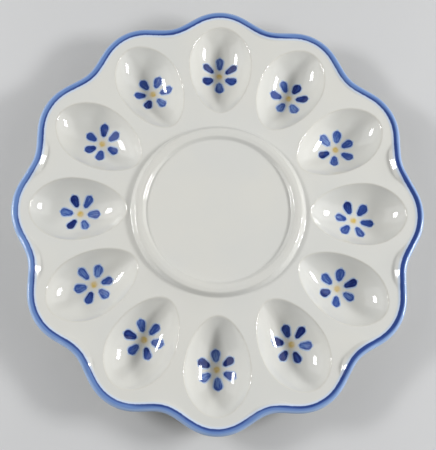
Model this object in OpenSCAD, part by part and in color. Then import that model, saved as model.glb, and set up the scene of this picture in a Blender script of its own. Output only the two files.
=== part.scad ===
// Deviled egg platter: an oval, scalloped ceramic dish with a ring of egg-shaped wells,
// a raised ring round its middle, a blue brushed rim and a six-petal flower in every well.
// Lengths are millimetres. Z is up, the foot stands on Z = 0 and the long axis runs along Y.

/* [Plate] */
// Width along the short axis, lobe tip to lobe tip
plate_w = 282; // [270:1:300]
// Length along the long axis, lobe tip to lobe tip
plate_l = 300; // [288:1:320]
// Thickness of the fired wall
wall_t = 4.5; // [3.5:0.1:5.5]
// How far a lobe stands out past the notches beside it
lobe_out = 9.4; // [6:0.2:12]

/* [Rim] */
// Height of the rim above the flat land on a lobe
rim_rise = 1.2; // [0.8:0.1:3]
// Height of the rim above the flat land in a notch, where it is drawn up
notch_rise = 4; // [3:0.1:6]
// Distance from the edge to the foot of the rim's slope on a lobe
rim_run = 6.6; // [6.4:0.1:9]
// Distance from the edge to the foot of the rim's slope in a notch
notch_run = 11; // [9:0.1:13]
// Thickness of the rounded edge of the rim
rim_t = 4.5; // [3.5:0.1:5.5]

/* [Wells] */
// Length of a well at the land, from its blunt end to its pointed end
well_l = 66; // [62:0.5:69]
// Width of a well at the land
well_w = 44; // [39:0.5:47]
// Depth of a well below the land
well_d = 13; // [11:0.5:15]
// Distance from the outer edge of the rim to the blunt end of a well
rim_to_well = 12; // [11.5:0.1:14]
// Clear height left under a well when the plate stands on a table
under_gap = 2.5; // [1.5:0.1:5]

/* [Middle] */
// Land left between the raised ring and the wells on the short axis
ring_gap = 3; // [2:0.1:6]
// Width of the raised ring, from foot to foot
ring_w = 11.2; // [9:0.1:14]
// Height of the raised ring above the land
ring_rise = 2.5; // [1.5:0.1:4]

/* [Foot] */
// How far the foot ring stands inside the raised ring above it
foot_in = 5; // [3:0.5:9]
// Width of the flat face that the foot ring rests on
foot_w = 4; // [3:0.1:7]

/* [Painting] */
// Thickness of the brushed colour
paint_t = 0.25; // [0.2:0.01:0.4]
// Clearance between a well's surface and the colour that lies over it
paint_gap = 0.15; // [0.1:0.01:0.25]
// Width of the blue band on the rim
band_w = 4.8; // [4:0.1:6]
// Distance from the middle of a flower to the tip of a petal
flower_r = 13.6; // [11:0.1:15]
// Length of a petal
petal_l = 9; // [7:0.1:10]
// Width of a petal
petal_w = 5.6; // [4.5:0.1:6]
// Width of the yellow dot
eye_w = 5.4; // [4:0.1:6]

/* [Hidden] */
wells = 12;
petals = 6;
// Names of the twelve flowers' nodes, numbered clockwise from the far end of the long axis
flower_names = ["01", "02", "03", "04", "05", "06", "07", "08", "09", "10", "11", "12"];
$fn = 96;

// Colours of the fired glaze, the cobalt brushwork and the yellow dots
glaze_colour = [0.88, 0.88, 0.85];
cobalt_colour = [0.16, 0.28, 0.62];
yellow_colour = [0.87, 0.70, 0.30];

// Shape of the scalloped edge: points to a lobe, and how much rounder a lobe is than a notch
lobe_steps = 14;
notch_share = 0.087;
notch_power = 6;
stations = wells * lobe_steps;
turn_step = 360 / stations;
probe_turn = turn_step / 100;
mean_r = (plate_w + plate_l) / 4;

// Heights, from the table up
land_z = under_gap + wall_t + well_d;
slab_z = land_z - wall_t;
buried_z = land_z - wall_t / 2;

// The rim in section: steps up the bare slope and then under the band, then angles round the edge
edge_r = rim_t / 2;
bare_shares = [1, 0.7, 0.35, 0];
covered_shares = [0.5, 0];
edge_turns = [30, 60, 90, 120, 145];
under_shares = [0.3, 0.65, 1];
band_first = 3;
band_last = 8;

// The egg of a well is turned about a level axis above the land, from two arcs that meet at its widest place
blunt_share = 0.43;
blunt_l = well_l * blunt_share;
tip_l = well_l - blunt_l;
axis_z = hundredth((well_w * well_w / 4 - well_d * well_d) / (2 * well_d));
egg_r = hundredth(axis_z + well_d);
blunt_arc_r = hundredth((blunt_l * blunt_l + well_d * well_d) / (2 * well_d));
tip_arc_r = hundredth((tip_l * tip_l + well_d * well_d) / (2 * well_d));

// The raised ring clears the wells on the short axis, and its flanks are drawn as [along, up] shares
ring_r = min(plate_w, plate_l) / 2 - rim_to_well - well_l - ring_gap;
outer_flank_share = 0.39;
inner_flank_share = 0.24;
flank_shares = [[0, 0], [0.24, 0.13], [0.74, 0.9], [1, 1]];

// The foot ring widens a little towards the plate
foot_r = ring_r - foot_in;
foot_flare = foot_w / 4;

// Where a flower sits along its well, and how far each one is turned, in degrees
flower_share = 0.515;
flower_x = blunt_l - well_l * flower_share;
flower_turns = [30, -10, 24, -8, 23, -6, -25, -18, 16, -6, 26, 10];
// How far each flower was painted off that place, along its well and across it, as shares of a petal
slip_shares = [
    [0.2, 0.05], [0.1, -0.15], [0.05, 0], [-0.05, -0.15], [-0.15, 0.05], [0, 0.2],
    [0.25, 0], [-0.25, -0.2], [0.05, -0.2], [0.1, 0], [0.05, -0.1], [0.1, -0.1]
];
petal_steps = 20;
petal_peak_share = 0.77;

function hundredth(x) = round(x * 100) / 100;

// Outline of the plate: 1 on a lobe and -1 in a notch, then the edge and points set in from it
function wave(a) = cos(wells * a) + notch_share * (1 - cos(2 * wells * a));
function reach(a) = 1 - lobe_out / mean_r * (1 - wave(a)) / 2;
function edge(a) = reach(a) * [plate_w / 2 * cos(a), plate_l / 2 * sin(a)];
function along(a) = edge(a + probe_turn) - edge(a - probe_turn);
function inward(a) = let (t = along(a)) [-t.y, t.x] / norm(t);
function inset(a, s) = edge(a) + s * inward(a);

// How deep in a notch a place on the edge lies, from 0 on a lobe to 1, and the rim's height and run there
function in_notch(a) = pow((1 - cos(wells * a)) / 2, notch_power);
function rise(a) = rim_rise + (notch_rise - rim_rise) * in_notch(a);
function run(a) = rim_run + (notch_run - rim_run) * in_notch(a);
function band_share(a) = (band_w - edge_r) / (run(a) - edge_r);

// Section of the rim as [distance in from the edge, height above the land]
function slope_point(a, u) = [edge_r + u * (run(a) - edge_r), rise(a) * (1 + cos(180 * u)) / 2];
function edge_point(a, t) = [edge_r * (1 - sin(t)), rise(a) - edge_r * (1 - cos(t))];
function under_point(a, u) = let (p = edge_point(a, edge_turns[len(edge_turns) - 1]))
    [p.x + u * (run(a) - p.x), p.y - sin(90 * u) * (p.y + wall_t)];
function section(a) = concat(
    [for (s = bare_shares) slope_point(a, band_share(a) + (1 - band_share(a)) * s)],
    [for (s = covered_shares) slope_point(a, band_share(a) * s)],
    [for (t = edge_turns) edge_point(a, t)],
    [for (u = under_shares) under_point(a, u)]
);
sections = [for (k = [0 : stations - 1]) section(k * turn_step)];

// One point of a station's section, and the same point moved out by the thickness of the paint
function bare(k, r) = sections[k][r];
function painted(k, r) = let (d = bare(k, r + 1) - bare(k, r - 1))
    bare(k, r) + paint_t * [d.y, -d.x] / norm(d);

// Rows of points right round the plate, and the faces between rows
function placed(k, p) = let (q = inset(k * turn_step, p.x)) [q.x, q.y, land_z + p.y];
function bare_row(r) = [for (k = [0 : stations - 1]) placed(k, bare(k, r))];
function painted_row(r) = [for (k = [0 : stations - 1]) placed(k, painted(k, r))];
function next(k) = (k + 1) % stations;
function strip(lower, upper) = [for (k = [0 : stations - 1])
    each [
        [lower * stations + k, lower * stations + next(k), upper * stations + next(k)],
        [lower * stations + k, upper * stations + next(k), upper * stations + k]
    ]];

// Where well number k lies: the direction of its axis and the distance to its widest place
function lobe_turn(k) = 90 - 360 / wells * k;
function well_turn(k) = let (p = edge(lobe_turn(k))) atan2(p.y, p.x);
function well_r(k) = norm(edge(lobe_turn(k))) - rim_to_well - blunt_l;

// A petal's outline, pointed at the middle of the flower and round outside
function petal_point(t) = [
    flower_r - petal_l * (1 + cos(t)) / 2,
    petal_w / 2 * sin(t) * sin(t / 2) / petal_peak_share
];

// The flat plate with its raised rim, before anything is sunk into it
module plate_blank() {
    rows = len(sections[0]);
    middle = rows * stations;
    polyhedron(
        points = concat(
            [for (r = [0 : rows - 1]) each bare_row(r)],
            [[0, 0, land_z], [0, 0, slab_z]]
        ),
        faces = concat(
            [for (r = [0 : rows - 2]) each strip(r, r + 1)],
            [for (k = [0 : stations - 1]) [middle, next(k), k]],
            [for (k = [0 : stations - 1])
                [middle + 1, (rows - 1) * stations + k, (rows - 1) * stations + next(k)]]
        )
    );
}

// Half of an egg's outline, on one side of its widest place
module half_egg(arc_r, grow, side) {
    intersection() {
        translate([egg_r - arc_r, 0])
            circle(arc_r + grow);
        translate([0, side > 0 ? 0 : -well_l])
            square([well_l, well_l]);
    }
}

// An egg lying on its side, blunt end outward, grown or shrunk all over
module egg(grow) {
    translate([0, 0, axis_z])
        rotate([0, 90, 0])
            rotate_extrude()
                union() {
                    half_egg(blunt_arc_r, grow, 1);
                    half_egg(tip_arc_r, grow, -1);
                }
}

// Sets something at the widest place of well number k, level with the land
module at_well(k) {
    rotate([0, 0, well_turn(k)])
        translate([well_r(k), 0, land_z])
            children();
}

// The underside of a well, from the table side up to the middle of the plate's wall
module well_shell(k) {
    at_well(k)
        intersection() {
            egg(wall_t);
            translate([-well_l, -well_w, -well_l - wall_t / 2])
                cube([2 * well_l, 2 * well_w, well_l]);
        }
}

// The raised ring round the middle
module centre_ring() {
    outer_run = ring_w * outer_flank_share;
    inner_run = ring_w * inner_flank_share;
    rotate_extrude()
        polygon(concat(
            [[ring_r, buried_z]],
            [for (p = flank_shares) [ring_r - outer_run * p.x, land_z + ring_rise * p.y]],
            [for (k = [len(flank_shares) - 1 : -1 : 0]) let (p = flank_shares[k])
                [ring_r - ring_w + inner_run * p.x, land_z + ring_rise * p.y]],
            [[ring_r - ring_w, buried_z]]
        ));
}

// The foot ring that the plate stands on
module foot_ring() {
    rotate_extrude()
        polygon([
            [foot_r - foot_w, 0],
            [foot_r, 0],
            [foot_r + foot_flare, buried_z],
            [foot_r - foot_w - foot_flare, buried_z]
        ]);
}

module platter_body() {
    color(glaze_colour)
        difference() {
            union() {
                union() {
                    plate_blank();
                    centre_ring();
                    foot_ring();
                }
                for (k = [0 : wells - 1])
                    well_shell(k);
            }
            for (k = [0 : wells - 1])
                at_well(k)
                    egg(0);
        }
}

// The blue brushed band that lies on the crest and the outer side of the rim
module rim_band() {
    rows = band_last - band_first + 1;
    color(cobalt_colour)
        polyhedron(
            points = concat(
                [for (r = [band_first : band_last]) each painted_row(r)],
                [for (r = [band_last : -1 : band_first]) each bare_row(r)]
            ),
            faces = [for (r = [0 : 2 * rows - 1]) each strip(r, (r + 1) % (2 * rows))]
        );
}

// A skin of paint on the inside of well number k, kept only inside the outline given
module painted_in(k) {
    at_well(k)
        intersection() {
            difference() {
                egg(-paint_gap);
                egg(-paint_gap - paint_t);
            }
            translate([flower_x + petal_l * slip_shares[k].x, petal_l * slip_shares[k].y, -well_l])
                rotate([0, 0, flower_turns[k] - well_turn(k)])
                    linear_extrude(well_l)
                        children();
        }
}

// The six petals of flower number k
module petals(k) {
    color(cobalt_colour)
        painted_in(k)
            for (p = [0 : petals - 1])
                rotate([0, 0, 360 / petals * p])
                    polygon([for (s = [0 : petal_steps - 1]) petal_point(360 / petal_steps * s)]);
}

// The yellow dot of flower number k
module flower_eye(k) {
    color(yellow_colour)
        painted_in(k)
            circle(eye_w / 2);
}

platter_body();
rim_band();
for (k = [0 : wells - 1]) {
    petals(k);
    flower_eye(k);
}
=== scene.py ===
import math

import bmesh
import bpy
import numpy as np
from mathutils import Matrix, Vector
from mathutils.geometry import delaunay_2d_cdt


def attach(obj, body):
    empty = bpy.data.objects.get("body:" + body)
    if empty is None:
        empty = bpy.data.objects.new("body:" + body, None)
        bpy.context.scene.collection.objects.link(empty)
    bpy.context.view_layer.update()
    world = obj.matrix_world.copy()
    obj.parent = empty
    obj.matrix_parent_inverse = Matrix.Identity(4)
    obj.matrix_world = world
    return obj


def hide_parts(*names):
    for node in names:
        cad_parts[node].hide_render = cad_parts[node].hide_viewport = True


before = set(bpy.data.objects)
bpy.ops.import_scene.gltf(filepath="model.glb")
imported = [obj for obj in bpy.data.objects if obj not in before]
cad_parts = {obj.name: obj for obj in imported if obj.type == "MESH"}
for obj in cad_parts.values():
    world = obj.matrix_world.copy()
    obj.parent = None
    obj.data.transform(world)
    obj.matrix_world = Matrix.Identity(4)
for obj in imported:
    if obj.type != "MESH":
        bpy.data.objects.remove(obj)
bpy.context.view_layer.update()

MM = 0.001

# The plate and its scalloped rim: rises are above the land, runs and crests in from the edge
WELLS = 12
PLATE_W = 282.0
PLATE_L = 300.0
MEAN_R = (PLATE_W + PLATE_L) / 4
LOBE_OUT = 9.4
NOTCH_SHARE = 0.087
LAND_Z = 20.0
WALL_T = 4.5
RIM_RISE = 1.2
NOTCH_RISE = 3.1
RIM_RUN = 6.6
NOTCH_RUN = 9.0
NOTCH_CREST = 4.4
EDGE_R = 2.25
EDGE_TURN = math.radians(145)
# How far into a notch the rim starts to rise, and how much of its flank is rounded, as shares
NOTCH_START = 0.55
CREST_ROUND = 0.14
HOLLOW_ROUND = 0.24
# How far the rim is drawn up in each notch, as a share, clockwise from the far end
NOTCH_SHARES = np.array((0.3, 0.2, 1, 0.9, 1, 0.6, 0.6, 1, 1, 1, 0.2, 0.3))

# The egg of a well, turned about a level axis above the land from two arcs
WELL_L = 66.0
WELL_W = 44.0
WELL_D = 14.5
EGG_D = 13.0
EGG_SHARE = 0.6
BLUNT_SHARE = 0.43
BLUNT_L = BLUNT_SHARE * WELL_L
TIP_L = WELL_L - BLUNT_L
EGG_R = ((WELL_W / 2) ** 2 + EGG_D**2) / (2 * EGG_D)
AXIS_Z = EGG_R - EGG_D
BLUNT_ARC_R = (BLUNT_L**2 + EGG_D**2) / (2 * EGG_D)
TIP_ARC_R = (TIP_L**2 + EGG_D**2) / (2 * EGG_D)
RIM_TO_WELL = 12.0
WELL_MIDDLE = BLUNT_L - WELL_L / 2
WELL_ROUND = 1.4
SHELL_ROUND = 3.0

# The raised ring and the foot ring, as distances from the middle
RING_OUT = 60.9
RING_CREST_OUT = 56.8
RING_CREST_IN = 52.7
RING_IN = 49.4
RING_RISE = 3.6
RING_CROWN = 0.2
RING_OVAL = 0.009
RING_CENTRE = (-0.3, 0.9)
FLOOR_RISE = 1.2
FOOT_OUT = 55.0
FOOT_IN = 51.0
FOOT_FLARE = 1.0
FOOT_ROUND = 0.9
FOOT_FILLET = 1.6

# The film of glaze, from -1 where it pools in a well to 1 where it thins over the well's edge; the thin
# end also carries painted shade along the well's edge
THIN_AND_EDGE_SHADE_REACH = 0.8
POOL_REACH = 14.0
CREST_FILM = 0.5

# The brushwork, lifted off the glaze and sunk into it at its borders
LIFT = 0.05
SINK = -0.06
BLEED = 1.3
BAND_BLEED = 1.9
BAND_W = 4.8
BAND_BEND = math.radians(100)
PETALS = 6
FLOWER_SHARE = 0.515
FLOWER_T = BLUNT_L - FLOWER_SHARE * WELL_L
FLOWER_R = 13.6
PETAL_L = 8.4
PETAL_W = 5.7
PETAL_TAPER = 0.64
EYE_W = 5.4
EYE_BLEED = 0.8
FLOWER_TURNS = (30, -10, 24, -8, 23, -6, -25, -18, 16, -6, 26, 10)
# How far each flower sits off its place, along its well and across it, as shares of a petal
SLIP_SHARES = (
    (0.2, 0.05), (0.1, -0.15), (0.05, 0), (-0.05, -0.15), (-0.15, 0.05), (0, 0.2),
    (0.25, 0), (-0.25, -0.2), (0.05, -0.2), (0.1, 0), (0.05, -0.1), (0.1, -0.1),
)
# How a hand varies the petals: least and most of the turn in degrees, of the sizes and of the tones
TURN_SPREAD = (-3, 3)
LENGTH_SHARES = (0.93, 1.06)
WIDTH_SHARES = (0.9, 1.08)
TONE_SPREAD = (-0.1, 0.8)
FADE_SPREAD = (-0.35, 0.35)
SEED = 12
HAND = np.random.default_rng(SEED)
# How far apart in the noise the brush marks of petals of different tone, and of the eyes, are taken
PETAL_MARKS = 40
EYE_MARKS = 7.0

# How finely each form is drawn
LOBE_STATIONS = 44
STATIONS = WELLS * LOBE_STATIONS
SLOPE_ROWS = 16
EDGE_ROWS = 12
LIP_ROWS = 8
UNDER_ROWS = 30
OUTLINE_SIDES = 160
AXIS_STEPS = 200
WELL_SPOKES = 112
WELL_ROWS = 18
HALVINGS = 50
RING_SPOKES = 216
FLANK_ROWS = 9
CORNER_STEPS = 6
BAND_ROWS = 18
PETAL_ROWS = 19
PETAL_COLUMNS = 13
WIDTH_STEPS = 60
EYE_SPOKES = 32
EYE_ROWS = 9
EYE_START = 0.15
PROBE = 1e-4
NORMAL_STEP = 0.01
WELD = 1e-6
# Even rows end this far inside a well's outline, and close rows follow at these distances out from it
EDGE_ZONE = 3.0
EDGE_STEPS = (-2.3, -1.7, -1.3, -1.0, -0.75, -0.5, -0.25, 0.0, 0.25, 0.5, 0.75, 1.0, 1.4, 1.9)
# Rows on plain stretches, as shares of the foot's height and of the way out from the middle
FOOT_SHARES = (0.7, 0.4)
HOLLOW_SHARES = (0.75, 0.5, 0.25)
FLOOR_SHARES = (0.94, 0.75, 0.5, 0.25)
# How square the ends of a petal's bleed are, and the least share of it that is left there
BLEED_POWER = 8
BLEED_LEAST_SHARE = 0.15


def edge(turn):
    """Points of the plate's outer edge at the given angles."""
    wave = np.cos(WELLS * turn) + NOTCH_SHARE * (1 - np.cos(2 * WELLS * turn))
    reach = 1 - LOBE_OUT / MEAN_R * (1 - wave) / 2
    return np.column_stack((reach * PLATE_W / 2 * np.cos(turn), reach * PLATE_L / 2 * np.sin(turn)))


def inset(turn, distance):
    """Points set in from the edge, square to it."""
    ahead = edge(turn + PROBE) - edge(turn - PROBE)
    inward = np.column_stack((-ahead[:, 1], ahead[:, 0]))
    inward /= np.linalg.norm(inward, axis=1, keepdims=True)
    return edge(turn) + np.reshape(distance, (-1, 1)) * inward


def full_turn(steps):
    """Angles of a full turn in even steps."""
    return np.linspace(0, 2 * np.pi, steps, endpoint=False)


def at_height(points, height):
    """Points of the plan with a height added to each."""
    return np.column_stack((points, np.broadcast_to(height, len(points))))


def soft_min(a, b, reach):
    """The lower of two heights, rounded off where they come within reach of each other."""
    near = np.maximum(reach - np.abs(a - b), 0) / reach
    return np.minimum(a, b) - near**3 * reach / 6


def ease(share):
    """A share from 0 to 1 that starts and ends level."""
    return (1 - np.cos(np.pi * np.clip(share, 0, 1))) / 2


def ramp(share):
    """A share from 0 to 1 with an even middle, rounded off shortly at its start and slowly at its end."""
    share = np.clip(share, 0, 1)
    start = np.maximum(CREST_ROUND - share, 0)
    end = np.maximum(share - 1 + HOLLOW_ROUND, 0)
    climb = share - CREST_ROUND / 2 + start**2 / (2 * CREST_ROUND) - end**2 / (2 * HOLLOW_ROUND)
    return climb / (1 - CREST_ROUND / 2 - HOLLOW_ROUND / 2)


def egg_girth(t, grow=0.0):
    """Distance of the egg's surface from its axis, at t outward along it."""
    arc = np.where(t >= 0, BLUNT_ARC_R, TIP_ARC_R)
    return np.maximum(np.sqrt(np.maximum((arc + grow) ** 2 - t**2, 0)) - (arc - EGG_R), 0)


def egg_depth(t, n, grow=0.0):
    """How far below the land the egg reaches, at t outward along its axis and n across it."""
    return np.sqrt(np.maximum(egg_girth(t, grow) ** 2 - n**2, 0)) - AXIS_Z


def well_outline():
    """Corners of a well's outline on the land, along its axis and across it."""
    turns = full_turn(OUTLINE_SIDES)
    t = np.cos(turns) * np.where(np.cos(turns) > 0, BLUNT_L, TIP_L)
    n = np.sqrt(np.maximum(egg_girth(t) ** 2 - AXIS_Z**2, 0))
    return np.column_stack((t, np.sign(np.sin(turns)) * n))


def wall_distance(t, n):
    """Distance to a well's outline, melted together where several sides are about as near."""
    sides = np.roll(WELL_OUTLINE, -1, axis=0) - WELL_OUTLINE
    length = np.linalg.norm(sides, axis=1)
    way = sides / length[:, None]
    from_t = np.subtract.outer(t, WELL_OUTLINE[:, 0])
    from_n = np.subtract.outer(n, WELL_OUTLINE[:, 1])
    past = from_t * way[:, 0] + from_n * way[:, 1]
    left = length - past
    aside = np.maximum((from_t * way[:, 1] - from_n * way[:, 0]) ** 2, PROBE**2)
    pull = (left / np.sqrt(aside + left**2) + past / np.sqrt(aside + past**2)) / aside
    return np.sqrt(2 / pull.sum(axis=1))


def well_depth(t, n):
    """Depth of the glazed well, between an egg and even walls that run together; below zero outside."""
    egg = egg_depth(t, n) / EGG_D
    even = np.sign(egg) * wall_distance(t, n) / WELL_HALF
    return WELL_D * (EGG_SHARE * egg + (1 - EGG_SHARE) * even)


class Well:
    """One well: its axis across the plan, and the way from the plan to places along and across it."""

    def __init__(self, number):
        lobe = edge(np.radians([90 - 360 / WELLS * number]))[0]
        self.along = lobe / np.linalg.norm(lobe)
        self.across = np.array((-self.along[1], self.along[0]))
        self.widest = lobe - (RIM_TO_WELL + BLUNT_L) * self.along

    def plan(self, t, n):
        return self.widest + np.outer(t, self.along) + np.outer(n, self.across)

    def local(self, points):
        offset = points - self.widest
        return offset @ self.along, offset @ self.across

    def height(self, points):
        t, n = self.local(points)
        return LAND_Z + soft_min(0.0, -well_depth(t, n), WELL_ROUND)

    def normal(self, points):
        step = NORMAL_STEP
        east = self.height(points + (step, 0)) - self.height(points - (step, 0))
        north = self.height(points + (0, step)) - self.height(points - (0, step))
        normal = np.column_stack((-east, -north, np.full(len(points), 2 * step)))
        return normal / np.linalg.norm(normal, axis=1, keepdims=True)

    def lifted(self, points, lift):
        """Points of the well's surface, moved off it along its normal."""
        return at_height(points, self.height(points)) + self.normal(points) * np.reshape(lift, (-1, 1))


WELL_OUTLINE = well_outline()
WELL_AXIS = np.linspace(-TIP_L, BLUNT_L, AXIS_STEPS)[1:-1]
WELL_HALF = wall_distance(WELL_AXIS, np.zeros(len(WELL_AXIS))).max()
WELL_LIST = [Well(number) for number in range(WELLS)]


class Shape:
    """Corners and faces of one mesh, laid down row by row, with named values at the corners."""

    def __init__(self):
        self.corners = []
        self.faces = []
        self.facing = []
        self.values = {}

    def row(self, points, facing=(0, 0, 0), **values):
        """Adds corners, with the normals to shade them by where the faces' own won't do."""
        first = len(self.corners)
        self.corners.extend(points.tolist())
        self.facing.extend(np.broadcast_to(facing, (len(points), 3)).tolist())
        for name, value in values.items():
            kept = self.values.setdefault(name, [])
            kept.extend([0.0] * (first - len(kept)))
            kept.extend(np.broadcast_to(value, (len(points),) + np.shape(value)[1:]).tolist())
        return np.arange(first, len(self.corners))

    def strip(self, lower, upper, closed=True):
        ends = len(lower) if closed else len(lower) - 1
        for i in range(ends):
            j = (i + 1) % len(lower)
            self.faces.append((lower[i], lower[j], upper[j], upper[i]))

    def strips(self, rows, closed=True):
        for lower, upper in zip(rows, rows[1:]):
            self.strip(lower, upper, closed)

    def fan(self, row, middle, **values):
        centre = self.row(np.array([middle]), **values)[0]
        for i in range(len(row)):
            self.faces.append((row[i], row[(i + 1) % len(row)], centre))

    def shade(self, mesh):
        """Shades the mesh by the normals given, so that paint shines as the well under it does."""
        facing = np.array(self.facing)
        if facing.any():
            way = np.zeros(3 * len(mesh.vertices), np.float32)
            mesh.vertex_normals.foreach_get("vector", way)
            same = np.sign((facing * way.reshape(-1, 3)).sum(axis=1, keepdims=True))
            mesh.normals_split_custom_set_from_vertices((facing * same).tolist())

    def piece(self, name, material, slot, *nodes):
        """Makes the object, which rides on the plate and stands for the CAD nodes given."""
        mesh = bpy.data.meshes.new(name)
        mesh.from_pydata((np.array(self.corners) * MM).tolist(), [], self.faces)
        builder = bmesh.new()
        builder.from_mesh(mesh)
        bmesh.ops.recalc_face_normals(builder, faces=builder.faces)
        builder.to_mesh(mesh)
        builder.free()
        mesh.polygons.foreach_set("use_smooth", np.ones(len(mesh.polygons), bool))
        self.shade(mesh)
        for key, kept in self.values.items():
            kept = np.array(kept + [kept[0]] * (len(self.corners) - len(kept)), np.float32)
            kind, field = ("FLOAT", "value") if kept.ndim == 1 else ("FLOAT_VECTOR", "vector")
            mesh.attributes.new(key, kind, "POINT").data.foreach_set(field, kept.ravel())
        mesh.materials.append(material)
        made = bpy.data.objects.new(name, mesh)
        bpy.context.scene.collection.objects.link(made)
        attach(made, "root")
        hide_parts(*nodes)


# Section of the rim at the given angles, as distance in from the edge and height above the land


def in_notch(turn):
    """How far the rim is drawn up at a place on the edge, from 0 on a lobe to the notch's share."""
    dip = (1 - np.cos(WELLS * turn)) / 2
    number = np.floor((np.pi / 2 - turn) * WELLS / (2 * np.pi)).astype(int) % WELLS
    return NOTCH_SHARES[number] * ease((dip - NOTCH_START) / (1 - NOTCH_START))


def rim_rise(turn):
    return RIM_RISE + (NOTCH_RISE - RIM_RISE) * in_notch(turn)


def rim_run(turn):
    return RIM_RUN + (NOTCH_RUN - RIM_RUN) * in_notch(turn)


def rim_crest(turn):
    return EDGE_R + (NOTCH_CREST - EDGE_R) * in_notch(turn)


def slope_height(turn, s):
    return rim_rise(turn) * (1 - ramp((s - rim_crest(turn)) / (rim_run(turn) - rim_crest(turn))))


def slope_point(turn, share):
    s = EDGE_R + share * (rim_run(turn) - EDGE_R)
    return s, slope_height(turn, s)


def edge_point(turn, bend, lift=0.0):
    reach = EDGE_R + lift
    return EDGE_R - reach * math.sin(bend), rim_rise(turn) - EDGE_R + reach * math.cos(bend)


def lip_point(turn, share):
    start, top = edge_point(turn, EDGE_TURN)
    drop = math.sin(math.pi / 2 * share) * (top + WALL_T)
    return start + share * (rim_run(turn) - start), top - drop


def rim_section(turn):
    """The rim from the land, over its crest and round its edge, to the underside of the plate."""
    points = [slope_point(turn, share) for share in np.linspace(1, 0, SLOPE_ROWS)]
    points += [edge_point(turn, bend) for bend in np.linspace(0, EDGE_TURN, EDGE_ROWS)[1:]]
    points += [lip_point(turn, share) for share in np.linspace(0, 1, LIP_ROWS)[1:]]
    return points


# Sections and heights of the rest of the body


def under_height(points):
    """Height of the plate's underside, which swells round each well."""
    height = np.full(len(points), LAND_Z - WALL_T)
    for well in WELL_LIST:
        t, n = well.local(points)
        height = soft_min(height, LAND_Z - egg_depth(t, n, WALL_T), SHELL_ROUND)
    return height


def foot_section():
    """The foot ring from outside to inside, as distance from the middle and height."""
    top = LAND_Z - WALL_T
    corner = np.linspace(0, math.pi / 2, CORNER_STEPS)
    flare = FOOT_FLARE * (top - FOOT_FILLET) / top
    outer = [(FOOT_OUT + flare + FOOT_FILLET * (1 - math.sin(c)), top - FOOT_FILLET * (1 - math.cos(c)))
             for c in corner]
    outer += [(FOOT_OUT + flare * share, top * share) for share in FOOT_SHARES]
    outer += [(FOOT_OUT - FOOT_ROUND * (1 - math.cos(c)), FOOT_ROUND * (1 - math.sin(c))) for c in corner]
    both_sides = FOOT_OUT + FOOT_IN
    return outer + [(both_sides - r, z) for r, z in reversed(outer)]


def ring_section():
    """The raised ring from its outer foot to its inner foot."""
    crown = RING_RISE - RING_CROWN
    inner = crown - FLOOR_RISE
    shares = np.linspace(0, 1, FLANK_ROWS)
    points = [(RING_OUT + s * (RING_CREST_OUT - RING_OUT), crown * ease(s)) for s in shares]
    for s in shares[1:-1]:
        bow = RING_CROWN * math.sin(math.pi * s) ** 2
        points.append((RING_CREST_OUT + s * (RING_CREST_IN - RING_CREST_OUT), crown + bow))
    points += [(RING_CREST_IN + s * (RING_IN - RING_CREST_IN), crown - inner * ease(s)) for s in shares]
    return points


# The body, laid down stretch by stretch


def lay_rim(body):
    """The rim all round, from the land to the underside."""
    turns = full_turn(STATIONS)
    rows = [body.row(at_height(inset(turns, s), LAND_Z + z)) for s, z in rim_section(turns)]
    body.strips(rows)
    return rows[0], rows[-1]


def lay_underside(body, lip):
    """The underside from the lip to the foot, the foot ring and the hollow inside it."""
    outer = np.array(body.corners)[lip][:, :2]
    spokes = outer / np.linalg.norm(outer, axis=1, keepdims=True)
    section = foot_section()
    rows = [lip]
    for share in np.linspace(0, 1, UNDER_ROWS)[1:-1]:
        points = outer + share * (section[0][0] * spokes - outer)
        rows.append(body.row(at_height(points, under_height(points))))
    rows += [body.row(at_height(radius * spokes, z)) for radius, z in section]
    hollow_r, hollow_z = section[-1]
    rows += [body.row(at_height(share * hollow_r * spokes, hollow_z)) for share in HOLLOW_SHARES]
    body.strips(rows)
    body.fan(rows[-1], (0, 0, hollow_z))


def outline_reach(turns):
    """Distance from a well's middle to its outline at the given angles, found by halving."""
    low = np.zeros(len(turns))
    high = np.full(len(turns), WELL_L)
    for _ in range(HALVINGS):
        middle = (low + high) / 2
        hollow = egg_depth(WELL_MIDDLE + middle * np.cos(turns), middle * np.sin(turns)) > 0
        low = np.where(hollow, middle, low)
        high = np.where(hollow, high, middle)
    return low


def lay_well(body, well):
    """One well with its rounded edge, and the row where it meets the flat land."""
    turns = full_turn(WELL_SPOKES)
    outline = outline_reach(turns)
    reaches = [share * (outline - EDGE_ZONE) for share in np.linspace(1 / WELL_ROWS, 1, WELL_ROWS)]
    reaches += [outline + step for step in EDGE_STEPS]
    rows = []
    for reach in reaches:
        points = well.plan(WELL_MIDDLE + reach * np.cos(turns), reach * np.sin(turns))
        # The thin film at a well's edge also carries a line of painted shade along it
        thin_and_edge_shade = np.exp(-(((reach - outline) / THIN_AND_EDGE_SHADE_REACH) ** 2))
        pool = np.exp(-((reach / POOL_REACH) ** 2))
        place = at_height(points, well.height(points))
        rows.append(body.row(place, facing=well.normal(points), film=thin_and_edge_shade - pool))
    body.strips(rows)
    middle = well.plan(np.array([WELL_MIDDLE]), np.zeros(1))
    body.fan(rows[0], (*middle[0], well.height(middle)[0]), facing=well.normal(middle), film=-1.0)
    return rows[-1]


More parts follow.
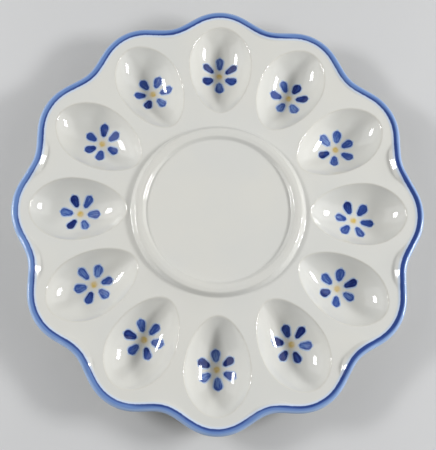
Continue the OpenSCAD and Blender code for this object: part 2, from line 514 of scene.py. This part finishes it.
def lay_ring(body):
    """The raised ring and the flat floor inside it."""
    turns = full_turn(RING_SPOKES)
    spokes = np.column_stack(((1 - RING_OVAL) * np.cos(turns), (1 + RING_OVAL) * np.sin(turns)))
    centre = np.array(RING_CENTRE)
    rows = []
    for radius, z in ring_section():
        film = CREST_FILM * z / RING_RISE
        rows.append(body.row(at_height(centre + radius * spokes, LAND_Z + z), film=film))
    for share in FLOOR_SHARES:
        rows.append(body.row(at_height(centre + share * RING_IN * spokes, LAND_Z + FLOOR_RISE), film=0.0))
    body.strips(rows)
    body.fan(rows[-1], (*centre, LAND_Z + FLOOR_RISE))
    return rows[0]


def lay_land(body, loops):
    """The flat land between the rim, the wells and the ring, the rim's loop given first."""
    corners = np.concatenate(loops)
    owner = np.concatenate([np.full(len(loop), k) for k, loop in enumerate(loops)])
    places = np.array(body.corners)[corners][:, :2]
    sides = []
    start = 0
    for loop in loops:
        count = len(loop)
        sides += [(start + i, start + (i + 1) % count) for i in range(count)]
        start += count
    plan = [Vector(place) for place in places.tolist()]
    inside_only = 1
    found = delaunay_2d_cdt(plan, sides, [], inside_only, WELD)
    source = [sorted(names)[0] for names in found[3]]
    for face in found[2]:
        kept = [source[i] for i in face]
        owners = {int(owner[i]) for i in kept}
        if owners == {0} or len(owners) > 1:
            body.faces.append(tuple(int(corners[i]) for i in kept))


def make_body(material):
    body = Shape()
    top, lip = lay_rim(body)
    lay_underside(body, lip)
    loops = [top] + [lay_well(body, well) for well in WELL_LIST] + [lay_ring(body)]
    lay_land(body, loops)
    body.piece("glazed_body", material, "white_glaze", "platter_body")


# The paint


def make_band(material):
    """The blue band over the crest of the rim, laid just proud of it and sunk in at both borders."""
    turns = full_turn(STATIONS)
    path = edge(turns)
    legs = np.linalg.norm(np.roll(path, -1, axis=0) - path, axis=1)
    lap = 2 * np.pi * np.concatenate(([0.0], np.cumsum(legs)[:-1])) / legs.sum()
    lap_r = legs.sum() / (2 * np.pi)
    slope = np.linspace(BAND_W + BAND_BLEED, EDGE_R, BAND_ROWS)
    bends = np.linspace(0, BAND_BEND, BAND_ROWS)[1:]
    places = []
    for s in slope:
        lift = SINK if s == slope[0] else LIFT
        places.append((s, slope_height(turns, s) + lift, BAND_W - s))
    for bend in bends:
        lift = SINK if bend == bends[-1] else LIFT
        places.append((*edge_point(turns, bend, lift), BAND_W - EDGE_R + EDGE_R * bend))
    band = Shape()
    rows = []
    for s, z, walk in places:
        brush = np.column_stack((lap_r * np.cos(lap), lap_r * np.sin(lap), np.full(STATIONS, walk)))
        rows.append(band.row(at_height(inset(turns, s), LAND_Z + z), brush=brush, inside=walk))
    band.strips(rows)
    band.piece("brushed_rim", material, "cobalt_rim", "rim_band")


def outline_distance(x, y, length, width):
    """Distance of points in from a petal's outline, two round ends joined by straight sides."""
    outer = width / 2
    inner = outer * PETAL_TAPER
    run = length - outer - inner
    lean = (inner - outer) / run
    straight = math.sqrt(1 - lean**2)
    x = x - inner
    y = np.abs(y)
    along = straight * x - lean * y
    side = inner - (straight * y + lean * x)
    side = np.where(along < 0, inner - np.hypot(x, y), side)
    return np.where(along > straight * run, outer - np.hypot(x - run, y), side)


def petal_half_width(share, length, width):
    """Half the width of a petal at a share of its length out from its narrow end."""
    rows = np.linspace(0, width, WIDTH_STEPS)
    x = np.repeat(np.clip(share, 0, 1) * length, len(rows))
    gap = outline_distance(x, np.tile(rows, len(share)), length, width).reshape(len(share), -1)
    return rows[(gap > 0).sum(axis=1).clip(max=len(rows) - 1)]


def lay_petal(shape, well, centre, turn, length, width, tone, fade):
    """One dab of the brush on a well: a patch a little larger than the petal, sunk in at its border."""
    along = np.array((math.cos(turn), math.sin(turn)))
    across = np.array((-along[1], along[0]))
    start = FLOWER_R - PETAL_L
    rows = []
    sides = np.linspace(-1, 1, PETAL_COLUMNS)
    for end in np.linspace(0, 1, PETAL_ROWS):
        x = np.full(len(sides), end * (length + 2 * BLEED) - BLEED)
        bleed = BLEED * max(math.sqrt(1 - (2 * end - 1) ** BLEED_POWER), BLEED_LEAST_SHARE)
        y = sides * (petal_half_width(x / length, length, width) + bleed)
        plan = centre + np.outer(start + x, along) + np.outer(y, across)
        border = (np.abs(sides) == 1) | (end in (0, 1))
        place = well.lifted(plan, np.where(border, SINK, LIFT))
        brush = np.column_stack((x, y, np.full(len(x), PETAL_MARKS * tone)))
        inside = outline_distance(x, y, length, width)
        tones = tone + fade * (x / length - 1 / 2)
        rows.append(shape.row(place, brush=brush, inside=inside, tone=tones, facing=well.normal(plan)))
    shape.strips(rows, closed=False)


def make_petals(number, well, centre, material):
    """The six petals of a flower, each dab a little different from the next."""
    petals = Shape()
    for k in range(PETALS):
        turn = math.radians(FLOWER_TURNS[number] + 360 / PETALS * k + HAND.uniform(*TURN_SPREAD))
        length = PETAL_L * HAND.uniform(*LENGTH_SHARES)
        width = PETAL_W * HAND.uniform(*WIDTH_SHARES)
        tone = HAND.uniform(*TONE_SPREAD)
        fade = HAND.uniform(*FADE_SPREAD)
        lay_petal(petals, well, centre, turn, length, width, tone, fade)
    name = "%02d" % (number + 1)
    petals.piece("brushed_petals_" + name, material, "cobalt_petals", "petals_" + name)


def make_eye(number, well, centre, material):
    """The dot in the middle of a flower."""
    eye = Shape()
    turns = full_turn(EYE_SPOKES)
    spokes = np.column_stack((np.cos(turns), np.sin(turns)))
    eye_r = EYE_W / 2
    mark = EYE_MARKS * number
    reaches = np.linspace(EYE_START, 1, EYE_ROWS) * (eye_r + EYE_BLEED)
    rows = []
    for reach in reaches:
        lift = SINK if reach == reaches[-1] else LIFT
        plan = centre + reach * spokes
        place = well.lifted(plan, np.full(len(spokes), lift))
        brush = np.column_stack((reach * spokes, np.full(len(spokes), mark)))
        rows.append(eye.row(place, brush=brush, inside=eye_r - reach, facing=well.normal(plan)))
    eye.strips(rows)
    tip = well.lifted(centre, LIFT)[0]
    eye.fan(rows[0], tip, brush=np.array([[0, 0, mark]]), inside=eye_r, facing=well.normal(centre))
    name = "%02d" % (number + 1)
    eye.piece("brushed_eye_" + name, material, "yellow_eyes", "flower_eye_" + name)


def make_flower(number, well, petal_paint, eye_paint):
    slip_t, slip_n = np.array(SLIP_SHARES[number]) * PETAL_L
    centre = well.plan(np.array([FLOWER_T + slip_t]), np.array([slip_n]))
    make_petals(number, well, centre, petal_paint)
    make_eye(number, well, centre, eye_paint)


# Materials. Colours are linear. A noise's scale is to the metre on the body and the floor, and to
# the millimetre on the paint, which carries the brush's own coordinates


class Tree:
    """Short ways to add and join the nodes of one material."""

    def __init__(self, name):
        self.material = bpy.data.materials.new(name)
        self.material.use_nodes = True
        self.tree = self.material.node_tree
        self.tree.nodes.clear()

    def set(self, socket, value):
        if isinstance(value, bpy.types.NodeSocket):
            self.tree.links.new(value, socket)
        elif isinstance(value, tuple) and len(value) == 3 and socket.type == "RGBA":
            socket.default_value = (*value, 1)
        else:
            socket.default_value = value

    def node(self, kind, settings=(), **inputs):
        made = self.tree.nodes.new(kind)
        for key, value in dict(settings).items():
            setattr(made, key, value)
        for key, value in inputs.items():
            self.set(made.inputs[key.replace("_", " ")], value)
        return made

    def math(self, operation, a, b=0.0):
        made = self.tree.nodes.new("ShaderNodeMath")
        made.operation = operation
        self.set(made.inputs[0], a)
        self.set(made.inputs[1], b)
        return made.outputs[0]

    def add(self, value, other, share):
        """A value with a share of another added."""
        return self.math("ADD", value, self.math("MULTIPLY", other, share))

    def mix(self, factor, a, b):
        made = self.tree.nodes.new("ShaderNodeMix")
        made.data_type = "RGBA"
        self.set(made.inputs[0], factor)
        self.set(made.inputs[6], a)
        self.set(made.inputs[7], b)
        return made.outputs[2]

    def fade(self, value, low, high, start=0.0, end=1.0):
        """A smooth step from start to end as the value goes from low to high."""
        made = self.node("ShaderNodeMapRange", {"interpolation_type": "SMOOTHSTEP"})
        for name, number in (("From Min", low), ("From Max", high), ("To Min", start), ("To Max", end)):
            self.set(made.inputs[name], number)
        self.set(made.inputs["Value"], value)
        return made.outputs["Result"]

    def stored(self, name, output="Fac"):
        return self.node("ShaderNodeAttribute", {"attribute_name": name}).outputs[output]

    def place(self):
        return self.node("ShaderNodeTexCoord").outputs["Object"]

    def noise(self, vector, scale, detail=2.0, stretch=(1, 1, 1)):
        if stretch != (1, 1, 1):
            vector = self.node("ShaderNodeMapping", Vector=vector, Scale=stretch).outputs["Vector"]
        made = self.node("ShaderNodeTexNoise", Vector=vector, Scale=scale, Detail=detail, Roughness=0.5)
        return made.outputs["Fac"]

    def sway(self, vector, scale, **settings):
        """A noise that goes as far below zero as above it."""
        return self.math("SUBTRACT", self.noise(vector, scale, **settings), 0.5)

    def finish(self, **inputs):
        shader = self.node("ShaderNodeBsdfPrincipled", **inputs)
        output = self.node("ShaderNodeOutputMaterial")
        self.tree.links.new(shader.outputs["BSDF"], output.inputs["Surface"])
        return self.material


# The white glaze: its clouds and specks, its waviness and its gloss
GLAZE = (0.705, 0.700, 0.655)
GLAZE_COOL = (0.682, 0.684, 0.652)
SPECK = (0.36, 0.31, 0.24)
GLAZE_IOR = 1.52
CLOUD_SCALE = 22.0
CLOUD_RANGE = (0.35, 0.7)
SPECK_SCALE = 70.0
SPECK_RARITY = 0.22
SPECK_BORDER = (0.012, 0.026)
SPECK_SHARE = 0.55
WAVE_SCALE = 24.0
SKIN_SCALE = 520.0
SKIN_SHARE = 0.012
WAVE_HEIGHT = 0.00005
GLOSS_SCALE = 55.0
GLOSS_RANGE = (0.3, 0.75)
GLAZE_ROUGHNESS = (0.045, 0.085)


def white_glaze(tree):
    """Colour of the white glaze: cloudy, with a rare dark speck."""
    place = tree.place()
    clouds = tree.fade(tree.noise(place, CLOUD_SCALE, detail=3.0), *CLOUD_RANGE)
    colour = tree.mix(clouds, GLAZE, GLAZE_COOL)
    cells = tree.node("ShaderNodeTexVoronoi", Vector=place, Scale=SPECK_SCALE)
    rare = tree.math("LESS_THAN", cells.outputs["Color"], SPECK_RARITY)
    spot = tree.fade(cells.outputs["Distance"], *SPECK_BORDER, start=SPECK_SHARE, end=0.0)
    return tree.mix(tree.math("MULTIPLY", rare, spot), colour, SPECK)


def glaze_relief(tree):
    """The faint waviness of a poured glaze and its finer skin."""
    place = tree.place()
    wave = tree.noise(place, WAVE_SCALE, detail=1.0)
    height = tree.add(wave, tree.noise(place, SKIN_SCALE), SKIN_SHARE)
    return tree.node("ShaderNodeBump", Strength=1.0, Distance=WAVE_HEIGHT, Height=height).outputs["Normal"]


def glaze_gloss(tree):
    """Gloss that varies a little, as a fired glaze does."""
    return tree.fade(tree.noise(tree.place(), GLOSS_SCALE, detail=3.0), *GLOSS_RANGE, *GLAZE_ROUGHNESS)


def glazed(tree, colour, roughness):
    """The finished material of a surface under the glaze."""
    return tree.finish(Base_Color=colour, Roughness=roughness, Normal=glaze_relief(tree), IOR=GLAZE_IOR)


# The body: warmer and darker where the film is thin, partly thin glaze and partly painted shade along the
# wells' edges, cooler where it pools, and bare clay under the foot
GLAZE_WARM_AND_EDGE_SHADE = (0.640, 0.616, 0.548)
CLAY = (0.62, 0.55, 0.46)
THIN_FILM_AND_EDGE_SHADE = (0.2, 1.0)
WARM_AND_EDGE_SHADE_SHARE = 0.4
POOLED_FILM = (-1.0, -0.1)
COOL_SHARE = 0.5
BARE_SCALE = 300.0
BARE_HEIGHT = 0.0006
BARE_BORDER = (0.0001, 0.0004)
BARE_ROUGHNESS = 0.65
GRIT_SCALE = 1500.0
GRIT_RANGE = (0.3, 0.7)
GRIT_TONES = (0.85, 1.1)


def body_material():
    tree = Tree("white_glaze")
    film = tree.stored("film")
    colour = white_glaze(tree)
    # Painted shade: a warm, darker line along each well's edge, mixed with the thinning of the glaze there
    colour = tree.mix(tree.fade(film, *THIN_FILM_AND_EDGE_SHADE, end=WARM_AND_EDGE_SHADE_SHARE), colour, GLAZE_WARM_AND_EDGE_SHADE)
    colour = tree.mix(tree.fade(film, *POOLED_FILM, start=COOL_SHARE, end=0.0), colour, GLAZE_COOL)
    height = tree.node("ShaderNodeSeparateXYZ", Vector=tree.place()).outputs["Z"]
    ragged = tree.add(height, tree.noise(tree.place(), BARE_SCALE), -BARE_HEIGHT)
    bare = tree.fade(ragged, *BARE_BORDER, start=1.0, end=0.0)
    grit = tree.fade(tree.noise(tree.place(), GRIT_SCALE, detail=3.0), *GRIT_RANGE, *GRIT_TONES)
    clay = tree.node("ShaderNodeVectorMath", {"operation": "SCALE"}, Vector=CLAY, Scale=grit)
    colour = tree.mix(bare, colour, clay.outputs["Vector"])
    return glazed(tree, colour, tree.add(glaze_gloss(tree), bare, BARE_ROUGHNESS))


# The band. Its tones change with the walk over the rim from its inner border, in millimetres
BAND_LINE_AND_SHADE = (0.026, 0.060, 0.245)
BAND_BLUE = (0.140, 0.245, 0.530)
BAND_EDGE_AND_HIGHLIGHT = (0.340, 0.470, 0.720)
BAND_BLEED_BLUE = (0.560, 0.690, 0.920)
BLEED_WALK = (-1.8, -0.2)
BLEED_SHARE = 0.75
BORDER_WALK = (-0.2, 0.35)
BLUE_WALK = (0.4, 2.0)
PALE_EDGE_WALK = (2.3, 4.3)
# How far the tones wander along the lap, streak with the brush and fray at the border
DRIFT_SCALE = 0.016
DRIFT_WALK = 3.2
STREAK_SCALE = 0.06
STREAK_STRETCH = (1, 1, 12)
STREAK_WALK = 2.0
STREAK_PALE_EDGE = 1.2
FRAY_SCALE = 0.35
FRAY_WALK = 0.5
ALONG_LAP = (1, 1, 0)
# The brush was fullest to the right and a little to the near side
FULL_LEAN = -0.3
FULL_RANGE = (60.0, 150.0)
FULL_WALK = 1.3


def band_material():
    """Brushed blue: a dark line at its inner border, partly paint and partly painted shade on the rim's
    steep inner flank, thinner blue over the rim and a pale edge, partly worn and partly a painted
    highlight.
    """
    tree = Tree("brushed_rim_blue")
    brush = tree.stored("brush", "Vector")
    walk = tree.stored("inside")
    drift = tree.sway(brush, DRIFT_SCALE, detail=1.0, stretch=ALONG_LAP)
    streak = tree.sway(brush, STREAK_SCALE, detail=3.0, stretch=STREAK_STRETCH)
    fray = tree.sway(brush, FRAY_SCALE, stretch=ALONG_LAP)
    lap = tree.node("ShaderNodeSeparateXYZ", Vector=brush).outputs
    full = tree.fade(tree.add(lap["X"], lap["Y"], FULL_LEAN), *FULL_RANGE, end=FULL_WALK)
    level = tree.add(tree.add(walk, drift, DRIFT_WALK), streak, STREAK_WALK)
    level = tree.math("SUBTRACT", level, full)
    # Painted shade: the dark line at the inner border stands partly for shade on the rim's steep inner
    # flank
    paint = tree.mix(tree.fade(level, *BLUE_WALK), BAND_LINE_AND_SHADE, BAND_BLUE)
    # Painted highlight: the pale outer edge is partly thin, worn paint and partly light reflected off the
    # rounded rim
    paint = tree.mix(tree.fade(tree.add(walk, streak, STREAK_PALE_EDGE), *PALE_EDGE_WALK), paint, BAND_EDGE_AND_HIGHLIGHT)
    bled = tree.mix(tree.fade(walk, *BLEED_WALK, end=BLEED_SHARE), white_glaze(tree), BAND_BLEED_BLUE)
    colour = tree.mix(tree.fade(tree.add(walk, fray, FRAY_WALK), *BORDER_WALK), bled, paint)
    return glazed(tree, colour, glaze_gloss(tree))


# The petals. Their bleed and border follow the distance in from the outline, in millimetres
BLUE_DEEP = (0.002, 0.014, 0.135)
BLUE = (0.030, 0.074, 0.310)
BLUE_THIN = (0.140, 0.240, 0.540)
PETAL_BLEED = (0.430, 0.540, 0.740)
PETAL_BLEED_INSIDE = (-1.3, -0.6)
PETAL_BORDER_INSIDE = (-0.4, 0.3)
PETAL_RIM_INSIDE = (0.2, 1.8)
PETAL_RIM_TONES = (-0.1, 0.06)
BLUE_TONES = (-0.1, 0.45)
THIN_TONES = (0.5, 1.0)
DAB_SCALE = 0.55
DAB_STRETCH = (0.45, 1.6, 1)
PETAL_FRAY_SCALE = 1.1
PETAL_FRAY = 0.5


def petal_material():
    """Dabs of blue, darker where the brush lifted and at the border, with a pale bleed round them."""
    tree = Tree("brushed_petal_blue")
    brush = tree.stored("brush", "Vector")
    inside = tree.stored("inside")
    streak = tree.sway(brush, DAB_SCALE, detail=3.0, stretch=DAB_STRETCH)
    level = tree.math("ADD", tree.stored("tone"), streak)
    level = tree.math("ADD", level, tree.fade(inside, *PETAL_RIM_INSIDE, *PETAL_RIM_TONES))
    paint = tree.mix(tree.fade(level, *BLUE_TONES), BLUE_DEEP, BLUE)
    paint = tree.mix(tree.fade(level, *THIN_TONES), paint, BLUE_THIN)
    border = tree.add(inside, tree.sway(brush, PETAL_FRAY_SCALE), PETAL_FRAY)
    bled = tree.mix(tree.fade(inside, *PETAL_BLEED_INSIDE), white_glaze(tree), PETAL_BLEED)
    colour = tree.mix(tree.fade(border, *PETAL_BORDER_INSIDE), bled, paint)
    return glazed(tree, colour, glaze_gloss(tree))


# The eyes, whose border follows the distance in from their outline too
OCHRE = (0.660, 0.480, 0.115)
OCHRE_THIN = (0.690, 0.545, 0.300)
OCHRE_BLEED = (0.700, 0.640, 0.500)
DOT_SCALE = 0.3
DOT_RANGE = (0.35, 0.65)
EYE_BLEED_INSIDE = (-0.8, 0.5)
EYE_BLEED_SHARE = 0.8
EYE_BORDER_INSIDE = (0.0, 1.5)
EYE_FRAY_SCALE = 0.7
EYE_FRAY = 1.2


def eye_material():
    """A soft yellow dot, thin and brownish towards its border."""
    tree = Tree("brushed_eye_yellow")
    brush = tree.stored("brush", "Vector")
    inside = tree.stored("inside")
    paint = tree.mix(tree.fade(tree.noise(brush, DOT_SCALE), *DOT_RANGE), OCHRE, OCHRE_THIN)
    border = tree.add(inside, tree.sway(brush, EYE_FRAY_SCALE), EYE_FRAY)
    bled = tree.fade(inside, *EYE_BLEED_INSIDE, end=EYE_BLEED_SHARE)
    bled = tree.mix(bled, white_glaze(tree), OCHRE_BLEED)
    colour = tree.mix(tree.fade(border, *EYE_BORDER_INSIDE), bled, paint)
    return glazed(tree, colour, glaze_gloss(tree))


# The floor
FLOOR_PALE = (0.60, 0.605, 0.61)
FLOOR_PALER = (0.63, 0.633, 0.637)
FLOOR_SCALE = 9.0
FLOOR_ROUGHNESS = 0.7


def floor_material():
    tree = Tree("pale_floor")
    colour = tree.mix(tree.noise(tree.place(), FLOOR_SCALE, detail=3.0), FLOOR_PALE, FLOOR_PALER)
    return tree.finish(Base_Color=colour, Roughness=FLOOR_ROUGHNESS)


# The studio: floor, lamps, world and camera. Lengths here are metres and angles degrees
FLOOR_HALF = 3.0
# Where the lamps stand, as the turn about the plate and the height over it, and their watts, left first
LAMP_WAYS = {"left": (171.0, 30.5), "right": (1.5, 26.0)}
STRIP_REACH = 1.2
STRIP_SIZE = (0.38, 0.15)
STRIP_WATTS = (6.8, 10.0)
PANEL_REACH = 1.6
PANEL_SIZE = (1.9, 1.25)
PANEL_WATTS = (8.0, 7.8)
WORLD_COLOUR = (0.99, 0.995, 1.0)
WORLD_STRENGTH = 0.22
CAMERA_AZIMUTH = -6.733
CAMERA_ELEVATION = 74.889
CAMERA_ROLL = 7.553
CAMERA_REACH = 0.6089
CAMERA_AIM = (-0.00064, -0.00984, 0.020)
# The focal length and the picture's long side in pixels, and the sensor in millimetres
FOCAL_PIXELS = 895.75
LONG_SIDE_PIXELS = 450
SENSOR = 36.0


def make_floor():
    corners = [(x * FLOOR_HALF, y * FLOOR_HALF, 0) for x, y in ((-1, -1), (1, -1), (1, 1), (-1, 1))]
    mesh = bpy.data.meshes.new("floor")
    mesh.from_pydata(corners, [], [(0, 1, 2, 3)])
    mesh.materials.append(floor_material())
    floor = bpy.data.objects.new("floor", mesh)
    bpy.context.scene.collection.objects.link(floor)


def make_lamps(kind, reach, size, watts):
    """An oblong lamp to the left of the plate and one to the right, their long sides level."""
    for (side, direction), power in zip(LAMP_WAYS.items(), watts):
        name = kind + "_" + side
        light = bpy.data.lights.new(name, "AREA")
        light.shape = "RECTANGLE"
        light.size, light.size_y = size
        light.energy = power
        turn, rise = map(math.radians, direction)
        way = Vector((math.cos(turn) * math.cos(rise), math.sin(turn) * math.cos(rise), math.sin(rise)))
        lamp = bpy.data.objects.new(name, light)
        lamp.location = way * reach
        lamp.rotation_euler = (-way).to_track_quat("-Z", "Y").to_euler()
        bpy.context.scene.collection.objects.link(lamp)


def make_world():
    world = bpy.data.worlds.new("studio")
    world.use_nodes = True
    background = world.node_tree.nodes["Background"]
    background.inputs["Color"].default_value = (*WORLD_COLOUR, 1)
    background.inputs["Strength"].default_value = WORLD_STRENGTH
    bpy.context.scene.world = world


def make_camera():
    """The photograph's camera: nearly overhead, from the near side, turned a little about its own axis."""
    turn = math.radians(CAMERA_AZIMUTH)
    rise = math.radians(CAMERA_ELEVATION)
    roll = math.radians(CAMERA_ROLL)
    back = Vector((math.cos(rise) * math.sin(turn), -math.cos(rise) * math.cos(turn), math.sin(rise)))
    level = Vector((math.cos(turn), math.sin(turn), 0))
    upright = back.cross(level)
    right = math.cos(roll) * level + math.sin(roll) * upright
    above = math.cos(roll) * upright - math.sin(roll) * level
    lens = bpy.data.cameras.new("camera")
    lens.sensor_width = SENSOR
    lens.lens = FOCAL_PIXELS * SENSOR / LONG_SIDE_PIXELS
    camera = bpy.data.objects.new("camera", lens)
    camera.matrix_world = Matrix((right, above, back)).transposed().to_4x4()
    camera.location = Vector(CAMERA_AIM) + back * CAMERA_REACH
    bpy.context.scene.collection.objects.link(camera)
    bpy.context.scene.camera = camera


make_body(body_material())
make_band(band_material())
petal_paint = petal_material()
eye_paint = eye_material()
for number, well in enumerate(WELL_LIST):
    make_flower(number, well, petal_paint, eye_paint)
make_floor()
make_lamps("strip", STRIP_REACH, STRIP_SIZE, STRIP_WATTS)
make_lamps("panel", PANEL_REACH, PANEL_SIZE, PANEL_WATTS)
make_world()
make_camera()
bpy.context.scene.view_settings.view_transform = "Standard"
